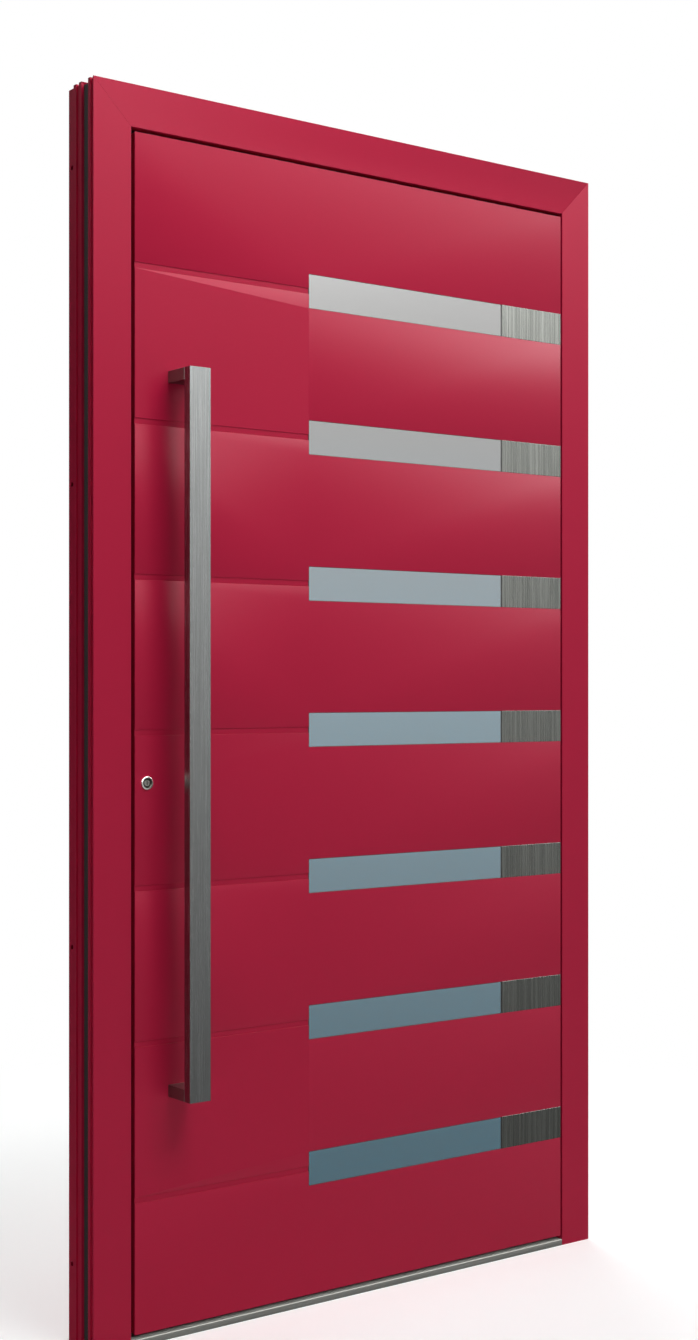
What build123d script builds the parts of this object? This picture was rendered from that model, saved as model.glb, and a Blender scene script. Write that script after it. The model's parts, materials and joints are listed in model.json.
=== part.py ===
"""A flush aluminium entrance door in its frame, with seven horizontal glass strips.

X runs to the right seen from outside, Y runs inwards to the room and Z runs up. The origin is the middle
of the threshold's underside, halfway through the frame's depth. Lengths are in millimetres.
The leaf hangs on three barrel hinges at the right, on the room side, and swings inwards.
"""

import os
from math import cos, radians, sin

from build123d import *

# Frame as a whole
door_width = 1100.0
door_height = 2064.0
frame_depth = 87.0

# Frame section, across its width
frame_face = 70.0
rebate_overlap = 5.6
rebate_gap = 6.0
shell_wall = 2.2
rebate_wall = 5.0
groove_depth = 3.0
break_inset = 5.0
break_wall = 2.5

# Frame section, through its depth from the outside face
outer_shell_depth = 18.0
break_depth = 21.5
front_lip = 1.5
outer_rib = 7.0
first_rib = 8.5
inner_groove = 9.0
second_rib = 9.0
cleat_leg = 60.0
cleat_clearance = 0.2

# Threshold
sill_height = 11.7
sill_chamfer = 1.0
sill_outer_depth = 38.0
sill_break_depth = 11.0
sill_wall = 2.0
sill_fit = 0.2

# Gaps round the leaf's outer sheet
lock_gap = 7.0
hinge_gap = 4.5
head_gap = 7.0
sill_gap = 7.8

# Leaf
sheet_thickness = 3.0
profile_inset = 1.0
break_setback = 2.0
shoulder_gap = 4.0
stile_width = 74.0
seal_clearance = 0.3
leaf_gasket_width = 6.0
bottom_seal_width = 24.0
bottom_seal_base = 2.0
bottom_seal_lip = 3.0

# Glass strips, steel plates and grooves
strip_count = 7
strip_foot_margin = 219.5
strip_top_margin = 217.4
strip_height = 60.0
glass_from_edge = 350.0
plate_length = 150.5
joint_width = 0.8
end_joint = 3.0
outer_pane = 6.0
middle_pane = 4.0
inner_pane = 6.0
pane_setback = 0.5
sealant_setback = 0.1
spacer_width = 7.0
unit_clearance = 0.5
plate_thickness = 1.5
plate_clearance = 0.3
channel_width = 10.0
channel_depth = 1.5

# Pull bar
bar_from_edge = 63.5
bar_bottom = 401.5
bar_length = 1200.0
bar_width = 40.0
bar_thickness = 18.0
bar_wall = 2.0
bar_edge_radius = 0.8
post_height = 20.0
post_length = 50.0
bolt_radius = 4.0
bolt_head_radius = 7.0
bolt_head_height = 5.0
bolt_reach = 25.0
bolt_clearance = 0.2

# Lock
lock_depth = 60.0
backset = 35.0
cylinder_height = 921.5
lever_rise = 92.0
deadbolt_drop = 45.0
latch_rise = 28.0
faceplate_width = 24.0
faceplate_thickness = 3.0
faceplate_bottom = 140.0
faceplate_drop = 127.0
case_gap = 3.6
case_depth = 45.0
case_thickness = 18.0
case_wall = 1.6
case_margin = 30.0
slide_clearance = 0.3
latch_width = 12.0
latch_height = 26.0
latch_throw = 12.0
latch_tail = 20.0
latch_bevel = 9.0
deadbolt_width = 12.0
deadbolt_height = 35.0
deadbolt_throw = 20.0
deadbolt_length = 44.0
deadbolt_setback = 0.5
upper_hook_drop = 170.0
lower_hook_height = 260.0
hook_pivot = 17.6
hook_reach = 33.0
hook_width = 12.0
hook_nose = 6.0
hook_nose_height = 6.0
hook_thickness = 8.0
hook_pin_radius = 3.0
hook_case_depth = 27.0
hook_case_below = 20.0
hook_case_above = 45.0
rod_width = 14.0
rod_thickness = 2.5
rod_travel = 20.0

# Key cylinder and its ring
cylinder_radius = 8.5
cylinder_web = 10.0
cylinder_drop = 24.5
cylinder_clearance = 0.3
cylinder_recess = -1.0
cylinder_inner_end = 3.0
ring_radius = 11.0
ring_height = 3.0
ring_round = 1.0
plug_radius = 5.0
plug_recess = -1.2
running_fit = 0.05
cam_width = 9.0
cam_slot = 10.0
cam_radius = 7.9
cam_reach = 13.0
cam_bit = 6.0
key_slot_width = 1.4
key_slot_height = 7.0
key_slot_depth = 20.0
knob_start = 12.0
knob_depth = 16.0
knob_width = 24.0
knob_thickness = 9.0

# Inside lever
rosette_radius = 26.0
rosette_height = 8.0
neck_radius = 9.0
neck_clearance = 0.06
lever_stand_off = 48.0
lever_length = 125.0
spindle_side = 8.0
spindle_clearance = 0.1
follower_radius = 9.0
follower_fit = 0.06

# Strikes
strike_thickness = 2.5
strike_width = 24.0
strike_margin = 26.0
hook_strike_below = 35.0
hook_strike_above = 52.0
pocket_clearance = 1.5
keeper_pocket_start = 51.0
keeper_pocket_depth = 26.4
keeper_pocket_half = 19.0
strike_case_face = 10.4
strike_case_fit = 0.3
keeper_pivot_across = 42.0
keeper_pivot_depth = 71.5
keeper_reach = 15.0
keeper_plate = 5.0
keeper_knuckle = 4.5
keeper_half = 16.5
keeper_room = 0.5
keeper_pin_radius = 2.0
keeper_open_angle = 75.0

# Hinges
hinge_rise = 250.0
hinge_drop = 274.0
pivot_offset = 11.5
knuckle_radius = 10.0
knuckle_gap = 0.5
frame_knuckle = 50.0
leaf_knuckle = 30.0
hinge_pin_radius = 5.0
hinge_pin_head = 3.0
hinge_pin_seat = 0.02
hinge_plate_thickness = 4.0
hinge_plate_width = 34.0
hinge_plate_fit = 0.1
hinge_screw_pitch = 36.0

# Screws, all of one kind
screw_radius = 2.4
screw_head_radius = 4.6
screw_head_height = 2.3
screw_length = 12.0
screw_clearance = 0.08
faceplate_screw_inset = 12.0

# Wall fixing holes through both jambs
fixing_radius = 4.0
fixing_depth = 76.5
fixing_margins = (132.0, 652.0)

# Places that follow from the sizes
left = -door_width / 2
right = door_width / 2
outside = -frame_depth / 2
inside = frame_depth / 2
outer_back = outside + outer_shell_depth
inner_front = outer_back + break_depth
shoulder = outer_back + shoulder_gap
rebate_face = frame_face - rebate_overlap
inner_face = rebate_face - rebate_gap
sheet_left = left + frame_face + lock_gap
sheet_right = right - frame_face - hinge_gap
sheet_top = door_height - frame_face - head_gap
leaf_bottom = sill_height + sill_gap
rebate_left = left + rebate_face
rebate_right = right - rebate_face
rebate_top = door_height - rebate_face
core_left = rebate_left + stile_width
core_right = rebate_right - stile_width
core_bottom = leaf_bottom + stile_width
core_top = rebate_top - stile_width
glass_left = sheet_left + glass_from_edge
plate_left = sheet_right - plate_length
glass_right = plate_left - end_joint
lowest_strip = leaf_bottom + strip_foot_margin
strip_pitch = (sheet_top - strip_top_margin - lowest_strip) / (strip_count - 1)
strip_heights = [lowest_strip + strip_pitch * i for i in range(strip_count)]
bar_left = sheet_left + bar_from_edge
bar_top = bar_bottom + bar_length
lock_y = outside + lock_depth
lock_x = rebate_left + backset
lever_height = cylinder_height + lever_rise
latch_centre = lever_height + latch_rise
deadbolt_centre = lever_height - deadbolt_drop
faceplate_top = sheet_top - faceplate_drop
upper_hook_height = faceplate_top - upper_hook_drop
faceplate_back = rebate_left + faceplate_thickness
case_front = faceplate_back + case_gap
case_back = case_front + case_depth
case_bottom = cylinder_height - case_margin
case_top = latch_centre + case_margin
hook_x = rebate_left + hook_pivot
top_hinge = door_height - hinge_drop
hinge_heights = (hinge_rise, (hinge_rise + top_hinge) / 2, top_hinge)
pivot_x = right - (rebate_face + inner_face) / 2
pivot_y = inside + pivot_offset


def block(x0, x1, y0, y1, z0, z1):
    """A box between two corners."""
    centre = Pos((x0 + x1) / 2, (y0 + y1) / 2, (z0 + z1) / 2)
    return centre * Box(x1 - x0, y1 - y0, z1 - z0)


def rod_along_y(x, z, radius, y0, y1):
    """A round bar along Y."""
    turned = Pos(x, (y0 + y1) / 2, z) * Rot(90, 0, 0)
    return turned * Cylinder(radius, y1 - y0)


def rod_along_x(y, z, radius, x0, x1):
    """A round bar along X."""
    turned = Pos((x0 + x1) / 2, y, z) * Rot(0, 90, 0)
    return turned * Cylinder(radius, x1 - x0)


def rod_along_z(x, y, radius, z0, z1):
    """A round bar along Z."""
    return Pos(x, y, (z0 + z1) / 2) * Cylinder(radius, z1 - z0)


def upright_prism(points, z0, z1):
    """A prism along Z from points in X and Y."""
    face = make_face(Polyline([(x, y, z0) for x, y in points], close=True))
    return extrude(face, amount=z1 - z0, dir=(0, 0, 1))


def deep_prism(points, y0, y1):
    """A prism along Y from points in X and Z."""
    face = make_face(Polyline([(x, y0, z) for x, z in points], close=True))
    return extrude(face, amount=y1 - y0, dir=(0, 1, 0))


def long_prism(points, x0, x1):
    """A prism along X from points in Y and Z."""
    face = make_face(Polyline([(x0, y, z) for y, z in points], close=True))
    return extrude(face, amount=x1 - x0, dir=(1, 0, 0))


def screw(x, y, z, way):
    """A countersunk screw whose head is flush at the point and whose shank runs along way."""
    cone = Pos(0, 0, -screw_head_height / 2) * Cone(screw_radius, screw_head_radius, screw_head_height)
    shank_length = screw_length - screw_head_height
    shank = Pos(0, 0, -screw_head_height - shank_length / 2) * Cylinder(screw_radius, shank_length)
    body = cone + shank
    plane = Plane(origin=(x, y, z), z_dir=tuple(-value for value in way))
    return plane.location * body


def screw_room(x, y, z, way):
    """The countersunk hole that a screw sits in, a little larger than the screw."""
    gap = screw_clearance
    cone_height = screw_head_height + gap
    cone = Pos(0, 0, -cone_height / 2) * Cone(screw_radius + gap, screw_head_radius + gap, cone_height)
    shank_length = screw_length - screw_head_height + gap
    shank = Pos(0, 0, -cone_height - shank_length / 2) * Cylinder(screw_radius + gap, shank_length)
    plane = Plane(origin=(x, y, z), z_dir=tuple(-value for value in way))
    return plane.location * (cone + shank)


def cut(solid, tools):
    """The solid less every tool."""
    for tool in tools:
        solid = solid - tool
    return solid


def joined(pieces):
    """One solid from pieces that overlap or meet."""
    whole = pieces[0]
    for piece in pieces[1:]:
        whole = whole + piece
    return whole


# Frame members


def jamb_prism(points):
    """A left jamb profile, drawn from the wall edge and the outside face, at full height."""
    placed = [(left + across, outside + depth) for across, depth in points]
    return upright_prism(placed, 0, door_height)


def head_prism(points):
    """The same profile along the head."""
    placed = [(outside + depth, door_height - across) for across, depth in points]
    return long_prism(placed, left, right)


def jamb_side():
    """The space of the left jamb, up to its mitre."""
    reach = frame_face + rebate_gap
    corners = [(left, 0), (left + reach, 0), (left + reach, door_height - reach), (left, door_height)]
    return deep_prism(corners, outside, inside)


def head_side():
    """The space of the head, between its mitres."""
    reach = frame_face + rebate_gap
    low = door_height - reach
    corners = [(left, door_height), (right, door_height), (right - reach, low), (left + reach, low)]
    return deep_prism(corners, outside, inside)


def rectangle(across0, across1, depth0, depth1):
    """Corner points of a rectangle in a frame profile."""
    return [(across0, depth0), (across1, depth0), (across1, depth1), (across0, depth1)]


def outer_shell_points():
    """The outer shell: a broad face, with one groove along the wall edge."""
    groove_start = front_lip
    groove_end = outer_shell_depth - outer_rib
    return [
        (0, 0),
        (frame_face, 0),
        (frame_face, outer_shell_depth),
        (0, outer_shell_depth),
        (0, groove_end),
        (groove_depth, groove_end),
        (groove_depth, groove_start),
        (0, groove_start),
    ]


def inner_shell_points():
    """The inner shell: narrower, with two ribs along the wall edge."""
    start = outer_shell_depth + break_depth
    first_end = start + first_rib
    second_start = first_end + inner_groove
    second_end = second_start + second_rib
    return [
        (0, start),
        (inner_face, start),
        (inner_face, frame_depth),
        (groove_depth, frame_depth),
        (groove_depth, second_end),
        (0, second_end),
        (0, second_start),
        (groove_depth, second_start),
        (groove_depth, first_end),
        (0, first_end),
    ]


chamber_start = groove_depth + shell_wall
outer_chamber = rectangle(
    chamber_start, frame_face - shell_wall, shell_wall, outer_shell_depth - shell_wall
)
inner_chamber = rectangle(
    chamber_start,
    inner_face - rebate_wall,
    outer_shell_depth + break_depth + shell_wall,
    frame_depth - shell_wall,
)
break_end = inner_face - rebate_wall
break_outline = rectangle(
    break_inset, break_end, outer_shell_depth, outer_shell_depth + break_depth
)
break_chamber = rectangle(
    break_inset + break_wall,
    break_end - break_wall,
    outer_shell_depth + break_wall,
    outer_shell_depth + break_depth - break_wall,
)


def jamb_piece(outline, chamber):
    """A hollow left jamb profile with its mitred top."""
    return (jamb_prism(outline) - jamb_prism(chamber)) & jamb_side()


def head_piece(outline, chamber):
    """A hollow head profile with its two mitres."""
    return (head_prism(outline) - head_prism(chamber)) & head_side()


def fixing_heights():
    """Heights of the four wall fixings in a jamb, two from its foot and two from its top."""
    return [*fixing_margins, *(door_height - margin for margin in fixing_margins)]


def fixing_holes():
    """Holes for the wall fixings, right through the left jamb's inner shell."""
    y = outside + fixing_depth
    return [rod_along_x(y, z, fixing_radius, left, rebate_left) for z in fixing_heights()]


def thermal_breaks():
    """The three breaks between the frame's shells."""
    jamb = jamb_piece(break_outline, break_chamber)
    return [jamb, mirror(jamb, about=Plane.YZ), head_piece(break_outline, break_chamber)]


def corner_cleat(chamber):
    """An angle that fills both chambers at the upper left corner."""
    near = chamber[0][0] + cleat_clearance
    far = chamber[1][0] - cleat_clearance
    front = outside + chamber[0][1] + cleat_clearance
    back = outside + chamber[2][1] - cleat_clearance
    leg_end = far + cleat_leg
    down = block(left + near, left + far, front, back, door_height - leg_end, door_height - near)
    across = block(left + near, left + leg_end, front, back, door_height - far, door_height - near)
    return down + across


def corner_cleats():
    """Four cleats: outer and inner, at both upper corners."""
    cleats = [corner_cleat(outer_chamber), corner_cleat(inner_chamber)]
    return cleats + [mirror(cleat, about=Plane.YZ) for cleat in cleats]


# Threshold


def sill_outline(depth0, depth1):
    """Plan of a threshold rail between the jambs, wider behind the frame's stop."""
    wide = inner_face + sill_fit
    if depth0 > 0:
        return [
            (left + wide, outside + depth0),
            (right - wide, outside + depth0),
            (right - wide, outside + depth1),
            (left + wide, outside + depth1),
        ]
    narrow = frame_face + sill_fit
    step = outer_back + sill_fit
    return [
        (left + narrow, outside),
        (right - narrow, outside),
        (right - narrow, step),
        (right - wide, step),
        (right - wide, outside + depth1),
        (left + wide, outside + depth1),
        (left + wide, step),
        (left + narrow, step),
    ]


def sill_rail(depth0, depth1, chamber_from):
    """A hollow threshold rail."""
    rail = upright_prism(sill_outline(depth0, depth1), 0, sill_height)
    hollow = block(
        left,
        right,
        outside + chamber_from + sill_wall,
        outside + depth1 - sill_wall,
        sill_wall,
        sill_height - sill_wall,
    )
    return rail - hollow


def threshold_outer():
    """The outer rail with a bevelled front edge."""
    rail = sill_rail(0, sill_outer_depth, outer_shell_depth + sill_fit)
    corner = [
        (outside, sill_height - sill_chamfer),
        (outside, sill_height),
        (outside + sill_chamfer, sill_height),
    ]
    return rail - long_prism(corner, left, right)


def threshold_break():
    """The black break in the middle of the threshold."""
    outline = sill_outline(sill_outer_depth, sill_outer_depth + sill_break_depth)
    return upright_prism(outline, 0, sill_height)


def threshold_inner():
    """The inner rail."""
    start = sill_outer_depth + sill_break_depth
    return sill_rail(start, frame_depth, start)


# Seals


def frame_gasket():
    """The stop gasket on the back of the outer shell, round both jambs and the head."""
    near = inner_face
    far = frame_face - front_lip
    front = outer_back
    back = shoulder - seal_clearance
    top = door_height - near
    jamb = block(left + near, left + far, front, back, sill_height, top)
    head = block(left + near, right - near, front, back, door_height - far, top)
    return joined([jamb, mirror(jamb, about=Plane.YZ), head])


def leaf_gasket():
    """A lip seal on the leaf's edge, near the room side, up both stiles and along the top."""
    proud = rebate_gap / 2
    back = inside - sheet_thickness - front_lip
    front = back - leaf_gasket_width
    jamb = block(rebate_left - proud, rebate_left, front, back, leaf_bottom, rebate_top + proud)
    head = block(rebate_left - proud, rebate_right + proud, front, back, rebate_top, rebate_top + proud)
    return joined([jamb, mirror(jamb, about=Plane.YZ), head])


def bottom_seal():
    """A two-lipped seal under the leaf, just clear of the threshold."""
    front = shoulder + front_lip
    back = front + bottom_seal_width
    base = block(
        rebate_left, rebate_right, front, back, leaf_bottom - bottom_seal_base, leaf_bottom
    )
    tip = sill_height + seal_clearance
    lips = [
        block(rebate_left, rebate_right, y, y + bottom_seal_lip, tip, leaf_bottom)
        for y in (front, back - bottom_seal_lip)
    ]
    return joined([base] + lips)


# Leaf structure


def cylinder_room():
    """The through hole for the key cylinder, from the outer sheet's back to the room."""
    gap = cylinder_clearance
    start = outside + sheet_thickness
    round_part = rod_along_y(lock_x, cylinder_height, cylinder_radius + gap, outside, inside)
    half_web = cylinder_web / 2 + gap
    foot = cylinder_height - cylinder_drop - gap
    web = block(lock_x - half_web, lock_x + half_web, start, inside, foot, cylinder_height)
    return round_part + web


def lever_room():
    """The hole for the lever's neck through the inner sheet, stile and lock case."""
    radius = neck_radius + slide_clearance
    return rod_along_y(lock_x, lever_height, radius, lock_y, inside)


def main_case_room():
    """The space of the lock's bolts at the leaf's edge."""
    half = case_thickness / 2 + slide_clearance
    return block(
        rebate_left, case_front, lock_y - half, lock_y + half,
        faceplate_bottom + strike_margin, faceplate_top - strike_margin,
    )


def faceplate_room():
    """The recess of the faceplate in the leaf's edge."""
    half = faceplate_width / 2
    return block(
        rebate_left, faceplate_back, lock_y - half, lock_y + half, faceplate_bottom, faceplate_top
    )


def leaf_frame_side(name):
    """The space of one leaf member, mitred at both ends, in front view."""
    sides = {
        "lock": [
            (rebate_left, leaf_bottom), (core_left, core_bottom),
            (core_left, core_top), (rebate_left, rebate_top),
        ],
        "hinge": [
            (rebate_right, leaf_bottom), (core_right, core_bottom),
            (core_right, core_top), (rebate_right, rebate_top),
        ],
        "top": [
            (rebate_left, rebate_top), (core_left, core_top),
            (core_right, core_top), (rebate_right, rebate_top),
        ],
        "bottom": [
            (rebate_left, leaf_bottom), (core_left, core_bottom),
            (core_right, core_bottom), (rebate_right, leaf_bottom),
        ],
    }
    return deep_prism(sides[name], outside, inside)


def leaf_ring(inset, y0, y1):
    """A ring round the foam core, set back from the leaf's rebate edge by inset."""
    whole = block(
        rebate_left + inset, rebate_right - inset, y0, y1, leaf_bottom, rebate_top - inset
    )
    return whole - block(core_left, core_right, y0, y1, core_bottom, core_top)


def leaf_member(name):
    """One hollow inner profile of the leaf, with a thick wall at the leaf's edge."""
    back = inside - sheet_thickness
    ring = leaf_ring(0, inner_front, back)
    hollow = block(
        rebate_left + rebate_wall, rebate_right - rebate_wall,
        inner_front + shell_wall, back - shell_wall,
        leaf_bottom + rebate_wall, rebate_top - rebate_wall,
    )
    hollow = hollow - block(
        core_left - shell_wall, core_right + shell_wall,
        inner_front, back,
        core_bottom - shell_wall, core_top + shell_wall,
    )
    return (ring - hollow) & leaf_frame_side(name)


def lock_stile():
    """The lock stile with the recess and holes of the lock."""
    tools = [faceplate_room(), main_case_room(), cylinder_room(), lever_room()]
    return cut(leaf_member("lock"), tools + faceplate_screw_rooms())


def outer_profile():
    """The leaf's outer aluminium ring, open towards its thermal break."""
    front = outside + sheet_thickness
    ring = block(
        sheet_left + profile_inset, sheet_right - profile_inset, front, shoulder,
        leaf_bottom + profile_inset, sheet_top - profile_inset,
    )
    ring = ring - block(core_left, core_right, front, shoulder, core_bottom, core_top)
    edge = profile_inset + shell_wall
    channel = block(
        sheet_left + edge, sheet_right - edge, front + shell_wall, shoulder,
        leaf_bottom + edge, sheet_top - edge,
    )
    channel = channel - block(
        core_left - shell_wall, core_right + shell_wall, front, shoulder,
        core_bottom - shell_wall, core_top + shell_wall,
    )
    return ring - channel - cylinder_room()


def leaf_break():
    """The leaf's black thermal break ring."""
    return leaf_ring(break_setback, shoulder, inner_front) - cylinder_room()


# Glass strips


def strip_block(y0, y1, z, inset):
    """A bar as long and high as one strip's glass, smaller by inset all round."""
    half = strip_height / 2 - inset
    return block(glass_left + inset, glass_right, y0, y1, z - half, z + half)


def strip_opening(y0, y1, z):
    """The opening of one strip, with its wide joint at the right."""
    half = strip_height / 2
    return block(glass_left, plate_left, y0, y1, z - half, z + half)


def plate_recess(z):
    """The shallow recess of a steel plate, open at the sheet's edge."""
    half = strip_height / 2
    back = outside + plate_thickness
    return block(plate_left, sheet_right, outside, back, z - half, z + half)


def channel(z):
    """The flat channel from the lock edge to a strip."""
    half = channel_width / 2
    return block(sheet_left, glass_left, outside, outside + channel_depth, z - half, z + half)


def outer_sheet():
    """The leaf's outside face with seven openings, plate recesses and channels."""
    front = outside
    back = outside + sheet_thickness
    sheet = block(sheet_left, sheet_right, front, back, leaf_bottom, sheet_top)
    tools = [strip_opening(front, back, z) for z in strip_heights]
    tools += [plate_recess(z) for z in strip_heights]
    tools += [channel(z) for z in strip_heights]
    tools.append(cylinder_room())
    tools += bar_bolt_rooms()
    return cut(sheet, tools)


def inner_sheet():
    """The leaf's room side face with seven openings."""
    front = inside - sheet_thickness
    sheet = block(rebate_left, rebate_right, front, inside, leaf_bottom, rebate_top)
    tools = [strip_opening(front, inside, z) for z in strip_heights]
    return cut(sheet, tools + [cylinder_room(), lever_room()] + leaf_hinge_screw_rooms())


def unit_room(z):
    """The space of one glass unit in the foam."""
    half = strip_height / 2 + unit_clearance
    return block(
        glass_left - unit_clearance, plate_left + unit_clearance, outside, inside, z - half, z + half
    )


def foam_core():
    """The insulating core between the sheets, cut out round each glass unit."""
    core = block(
        core_left, core_right, outside + sheet_thickness, inside - sheet_thickness,
        core_bottom, core_top,
    )
    return cut(core, [unit_room(z) for z in strip_heights] + bar_bolt_rooms())


outer_pane_front = outside + pane_setback
inner_pane_back = inside - pane_setback
unit_gap = (frame_depth - 2 * pane_setback - outer_pane - middle_pane - inner_pane) / 2
middle_pane_front = outer_pane_front + outer_pane + unit_gap
inner_pane_front = inner_pane_back - inner_pane


def glass_outer_pane(z):
    """The satin pane that shows outside."""
    return strip_block(outer_pane_front, outer_pane_front + outer_pane, z, joint_width)


def glass_inner_panes():
    """The middle pane and the room side pane of every strip."""
    panes = []
    for z in strip_heights:
        panes.append(
            strip_block(middle_pane_front, middle_pane_front + middle_pane, z, joint_width)
        )
        panes.append(strip_block(inner_pane_front, inner_pane_back, z, joint_width))
    return panes


def spacer(y0, y1, z):
    """A spacer frame between two panes."""
    half = strip_height / 2 - joint_width - spacer_width
    hole = block(
        glass_left + joint_width + spacer_width, glass_right - spacer_width,
        y0, y1, z - half, z + half,
    )
    return strip_block(y0, y1, z, joint_width) - hole


def glass_spacers():
    """Two spacer frames in each glass unit."""
    frames = []
    for z in strip_heights:
        frames.append(spacer(outer_pane_front + outer_pane, middle_pane_front, z))
        frames.append(spacer(middle_pane_front + middle_pane, inner_pane_front, z))
    return frames


def glazing_joint(y0, y1, z):
    """Sealant between one pane and its sheet, wide at the right."""
    return strip_opening(y0, y1, z) - strip_block(y0, y1, z, joint_width)


def glazing_joints():
    """The black joints round the panes, outside and inside."""
    joints = []
    for z in strip_heights:
        joints.append(
            glazing_joint(outer_pane_front + sealant_setback, outside + sheet_thickness, z)
        )
        joints.append(
            glazing_joint(inside - sheet_thickness, inner_pane_back - sealant_setback, z)
        )
    return joints


def steel_plates():
    """The brushed plates that run from the glass to the leaf's edge."""
    half = strip_height / 2 - plate_clearance
    back = outside + plate_thickness
    return [
        block(plate_left, sheet_right, outside, back, z - half, z + half) for z in strip_heights
    ]


# Pull bar

bar_back = outside - post_length
bar_front = bar_back - bar_thickness
post_heights = (bar_bottom + post_height / 2, bar_top - post_height / 2)
bar_middle = bar_left + bar_width / 2


def bar_bolt(z, gap):
    """A hexagon headed bolt through the outer sheet into a post, larger by gap."""
    sheet_back = outside + sheet_thickness
    shank = rod_along_y(bar_middle, z, bolt_radius + gap, outside - bolt_reach - gap, sheet_back)
    head_end = sheet_back + bolt_head_height + gap
    head = rod_along_y(bar_middle, z, bolt_head_radius + gap, sheet_back, head_end)
    return shank + head


def bar_bolt_rooms():
    """Holes of the pull bar's bolts."""
    return [bar_bolt(z, bolt_clearance) for z in post_heights]


def pull_bar():
    """The hollow rectangular bar, closed at its ends."""
    tube = block(bar_left, bar_left + bar_width, bar_front, bar_back, bar_bottom, bar_top)
    tube = fillet(tube.edges().filter_by(Axis.Z), bar_edge_radius)
    hollow = block(
        bar_left + bar_wall, bar_left + bar_width - bar_wall,
        bar_front + bar_wall, bar_back - bar_wall,
        bar_bottom + bar_wall, bar_top - bar_wall,
    )
    return tube - hollow


def pull_bar_posts():
    """The two flat posts between the sheet and the bar's ends."""
    posts = []
    for z in post_heights:
        half = post_height / 2
        post = block(bar_left, bar_left + bar_width, bar_back, outside, z - half, z + half)
        posts.append(post - bar_bolt(z, bolt_clearance))
    return posts


# Lock


def upright_plate(x0, x1, width, z0, z1):
    """A plate across the lock's plane."""
    return block(x0, x1, lock_y - width / 2, lock_y + width / 2, z0, z1)


def latch_slot(x0, x1, gap):
    """The latch's path with a gap all round."""
    half = latch_height / 2 + gap
    return upright_plate(x0, x1, latch_width + 2 * gap, latch_centre - half, latch_centre + half)


def deadbolt_slot(x0, x1, gap):
    """The deadbolt's path with a gap all round."""
    half = deadbolt_height / 2 + gap
    centre = deadbolt_centre
    return upright_plate(x0, x1, deadbolt_width + 2 * gap, centre - half, centre + half)


def hook_slot(x0, x1, height, gap):
    """The path of a hook bolt through a plate."""
    low = height - hook_width / 2 - gap - pocket_clearance
    high = height + hook_reach + gap + pocket_clearance
    return upright_plate(x0, x1, hook_thickness + 2 * gap, low, high)


def hook_pocket(x0, x1, height):
    """The room behind a strike plate, where a turned hook's nose catches."""
    low = height - hook_width / 2 - hook_nose - 2 * pocket_clearance
    high = height + hook_reach + 2 * pocket_clearance
    return upright_plate(x0, x1, hook_thickness + 2 * pocket_clearance, low, high)


def faceplate_screw_heights():
    """Heights of the faceplate's screws, at its ends."""
    return (faceplate_bottom + faceplate_screw_inset, faceplate_top - faceplate_screw_inset)


def faceplate_screw_rooms():
    """Holes of the faceplate's screws."""
    return [screw_room(rebate_left, lock_y, z, (1, 0, 0)) for z in faceplate_screw_heights()]


def lock_faceplate():
    """The long stainless faceplate in the leaf's edge."""
    plate = upright_plate(
        rebate_left, faceplate_back, faceplate_width, faceplate_bottom, faceplate_top
    )
    gap = slide_clearance
    tools = [
        latch_slot(rebate_left, faceplate_back, gap),
        deadbolt_slot(rebate_left, faceplate_back, gap),
        hook_slot(rebate_left, faceplate_back, upper_hook_height, gap),
        hook_slot(rebate_left, faceplate_back, lower_hook_height, gap),
    ]
    return cut(plate, tools + faceplate_screw_rooms())


def case_shell(x0, x1, z0, z1):
    """A thin-walled lock case."""
    outer = upright_plate(x0, x1, case_thickness, z0, z1)
    inner = upright_plate(
        x0 + case_wall, x1 - case_wall, case_thickness - 2 * case_wall, z0 + case_wall, z1 - case_wall
    )
    return outer - inner


def case_cheeks(z0, z1):
    """The two side walls that carry a case on the faceplate, either side of the drive rods."""
    start = faceplate_back + slide_clearance
    both = upright_plate(start, case_front, case_thickness, z0, z1)
    return both - upright_plate(start, case_front, case_thickness - 2 * case_wall, z0, z1)


def main_lock_case():
    """The case of latch, deadbolt, follower and cylinder cam."""
    case = case_shell(case_front, case_back, case_bottom, case_top)
    case = case + case_cheeks(case_bottom, case_top)
    gap = slide_clearance
    wall_end = case_front + case_wall
    half = case_thickness / 2
    follower = rod_along_y(
        lock_x, lever_height, follower_radius + follower_fit, lock_y - half, lock_y + half
    )
    return cut(
        case,
        [
            latch_slot(case_front, wall_end, gap),
            deadbolt_slot(case_front, wall_end, gap),
            cylinder_room(),
            follower,
        ],
    )


def hook_case(height):
    """The case round one hook bolt, with the hook's pivot pin fixed across it."""
    low = height - hook_case_below
    high = height + hook_case_above
    case = case_shell(case_front, case_front + hook_case_depth, low, high) + case_cheeks(low, high)
    inner_half = case_thickness / 2 - case_wall
    mouth = upright_plate(
        case_front, case_front + case_wall, 2 * inner_half, low + case_wall, high - case_wall
    )
    pin = rod_along_y(
        hook_x, height, hook_pin_radius, lock_y - case_thickness / 2, lock_y + case_thickness / 2
    )
    return (case - mouth) + pin


def latch_bolt():
    """The sprung latch, thrown, with a bevel on its outside face for closing."""
    tip = rebate_left - latch_throw
    end = case_front + latch_tail
    half = latch_height / 2
    front = lock_y - latch_width / 2
    back = lock_y + latch_width / 2
    plan = [
        (tip, back - latch_width + latch_bevel),
        (tip, back),
        (end, back),
        (end, front),
        (rebate_left - slide_clearance, front),
    ]
    return upright_prism(plan, latch_centre - half, latch_centre + half)


def deadbolt():
    """The deadbolt, drawn back into the leaf."""
    start = rebate_left + deadbolt_setback
    return deadbolt_slot(start, start + deadbolt_length, 0)


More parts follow.
